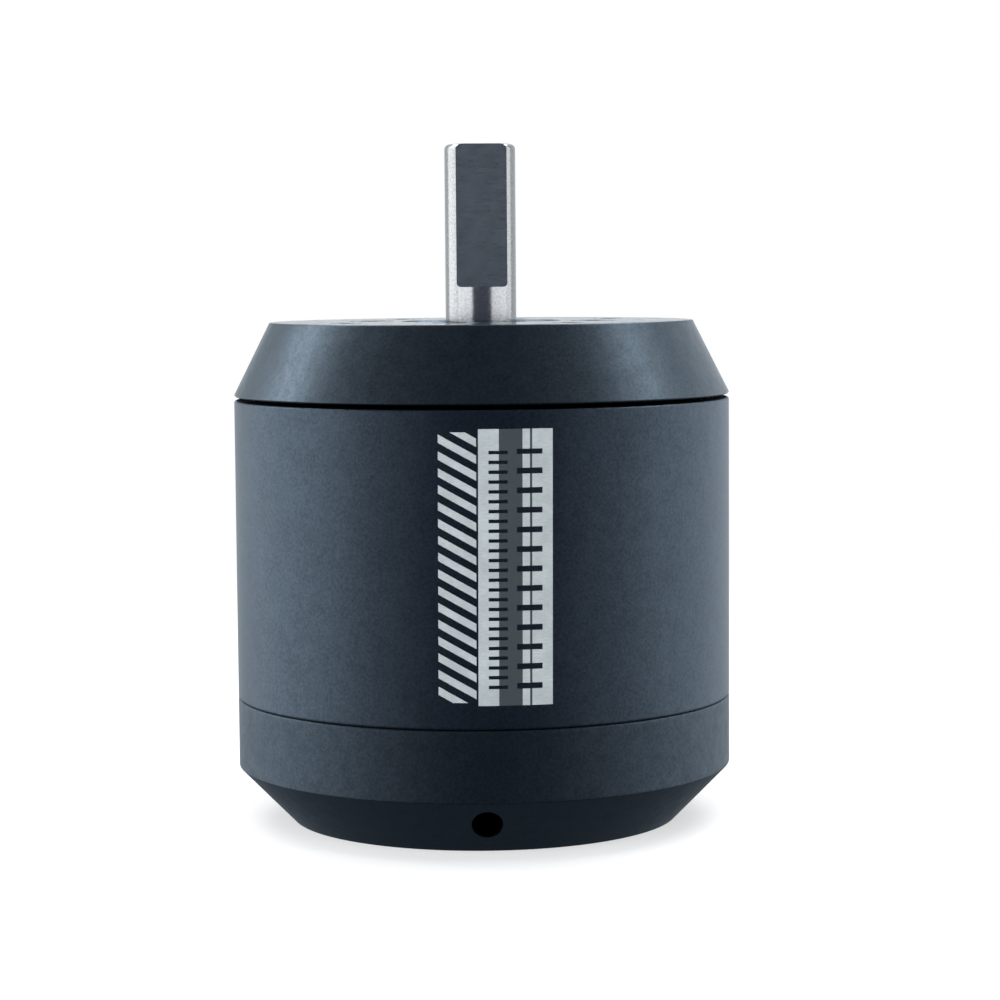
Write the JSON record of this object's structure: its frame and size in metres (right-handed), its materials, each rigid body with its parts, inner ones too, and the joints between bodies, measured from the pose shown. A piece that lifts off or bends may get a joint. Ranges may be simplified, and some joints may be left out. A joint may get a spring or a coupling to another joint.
{
  "type": "brushless outrunner motor",
  "caption": "Closed-can brushless outrunner motor with a fixed coned front cap, a turning can and rear bell, and a steel output shaft with a milled flat.",
  "frame": {"origin": "centre of the flat rear face of the bell, which the motor stands on", "axes": "+Z along the shaft towards its output end, -Y towards the first grub-screw hole of the rear bell, +X to its right seen from outside"},
  "size_m": [0.07, 0.07, 0.0952],
  "materials": {
    "black_anodised": "satin black anodised over a fine blast",
    "black_can": "satin black coating over turned steel, with a pale etched marking",
    "polished_steel": "ground steel, milled flat",
    "raw_aluminium": "turned",
    "black_oxide_steel": "black oxide",
    "silicon_steel": "stacked laminations",
    "insulator_plastic": "moulded",
    "copper_wire": "enamelled copper wire",
    "circuit_board": "solder mask",
    "black_rubber": "matt",
    "bearing_steel": "ground and polished",
    "spring_steel": "phosphated",
    "nickel_magnet": "nickel plated"
  },
  "bodies": {
    "stator": {"front_cap": "black_anodised", "cable_grommet": "black_rubber", "stator_tube": "raw_aluminium", "tube_screw_1": "black_oxide_steel", "tube_screw_2": "black_oxide_steel", "tube_screw_3": "black_oxide_steel", "tube_screw_4": "black_oxide_steel", "stator_core": "silicon_steel", "front_slot_insulator": "insulator_plastic", "rear_slot_insulator": "insulator_plastic", "coil_01": "copper_wire", "coil_02": "copper_wire", "coil_03": "copper_wire", "coil_04": "copper_wire", "coil_05": "copper_wire", "coil_06": "copper_wire", "coil_07": "copper_wire", "coil_08": "copper_wire", "coil_09": "copper_wire", "coil_10": "copper_wire", "coil_11": "copper_wire", "coil_12": "copper_wire", "hall_sensor_board": "circuit_board", "front_bearing_outer_ring": "bearing_steel", "front_bearing_upper_seal": "black_rubber", "front_bearing_lower_seal": "black_rubber", "rear_bearing_outer_ring": "bearing_steel", "rear_bearing_upper_seal": "black_rubber", "rear_bearing_lower_seal": "black_rubber"},
    "rotor": {"flux_ring": "black_can", "rear_bell": "black_anodised", "shaft": "polished_steel", "magnet_01": "nickel_magnet", "magnet_02": "nickel_magnet", "magnet_03": "nickel_magnet", "magnet_04": "nickel_magnet", "magnet_05": "nickel_magnet", "magnet_06": "nickel_magnet", "magnet_07": "nickel_magnet", "magnet_08": "nickel_magnet", "magnet_09": "nickel_magnet", "magnet_10": "nickel_magnet", "magnet_11": "nickel_magnet", "magnet_12": "nickel_magnet", "magnet_13": "nickel_magnet", "magnet_14": "nickel_magnet", "bell_grub_screw_1": "black_oxide_steel", "bell_grub_screw_2": "black_oxide_steel", "shaft_circlip": "spring_steel", "front_washer": "bearing_steel", "rear_spacer": "bearing_steel", "front_bearing_inner_ring": "bearing_steel", "rear_bearing_inner_ring": "bearing_steel"},
    "front_bearing_cage": {"front_bearing_cage_and_balls": "bearing_steel"},
    "rear_bearing_cage": {"rear_bearing_cage_and_balls": "bearing_steel"}
  },
  "joints": [
    {"name": "rotor_spin", "type": "hinge", "parent": "stator", "child": "rotor", "pos_m": [0, 0, 0.035], "axis": [0, 0, 1], "continuous": true},
    {"name": "front_bearing_spin", "type": "hinge", "parent": "stator", "child": "front_bearing_cage", "pos_m": [0, 0, 0.0654], "axis": [0, 0, 1], "continuous": true},
    {"name": "rear_bearing_spin", "type": "hinge", "parent": "stator", "child": "rear_bearing_cage", "pos_m": [0, 0, 0.017], "axis": [0, 0, 1], "continuous": true}
  ],
  "couplings": [
    {"joint": "front_bearing_spin", "follows": "rotor_spin", "ratio": 0.4},
    {"joint": "rear_bearing_spin", "follows": "rotor_spin", "ratio": 0.4}
  ]
}
